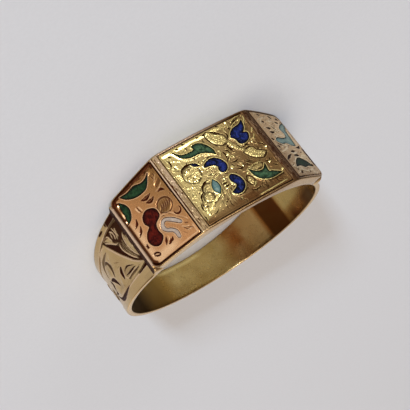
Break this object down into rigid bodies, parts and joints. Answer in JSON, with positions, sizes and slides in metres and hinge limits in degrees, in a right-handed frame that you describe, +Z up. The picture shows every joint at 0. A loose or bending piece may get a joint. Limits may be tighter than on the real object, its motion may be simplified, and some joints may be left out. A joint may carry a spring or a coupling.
{
  "type": "half hoop ring",
  "caption": "Gold half hoop finger ring: a tapering band with a carved front half rising to a faceted head of inlaid gold plaques with flower and leaf enamel.",
  "frame": {"origin": "centre of the finger hole, halfway across the band", "axes": "+Z up from the surface the ring lies on, the head faces -Y, the berry plaque's end of the head lies towards +X"},
  "size_m": [0.0186, 0.0195, 0.0073],
  "materials": {
    "yellow_gold": "polished",
    "rose_gold": "satin",
    "green_enamel": "gloss",
    "blue_enamel": "gloss",
    "turquoise_enamel": "gloss",
    "red_enamel": "gloss",
    "white_enamel": "gloss"
  },
  "bodies": {
    "root": {"hoop": "yellow_gold", "centre_plaque": "yellow_gold", "left_plaque": "rose_gold", "right_plaque": "rose_gold", "centre_leaf_upper": "green_enamel", "centre_leaf_lower": "green_enamel", "blue_petal_upper": "blue_enamel", "blue_petal_middle": "blue_enamel", "blue_petal_lower": "blue_enamel", "blue_petal_small": "blue_enamel", "turquoise_petal": "turquoise_enamel", "left_leaf_long": "green_enamel", "left_leaf_short": "green_enamel", "left_berries": "red_enamel", "left_bud": "white_enamel", "right_scroll": "turquoise_enamel", "right_leaf": "green_enamel"}
  },
  "joints": []
}
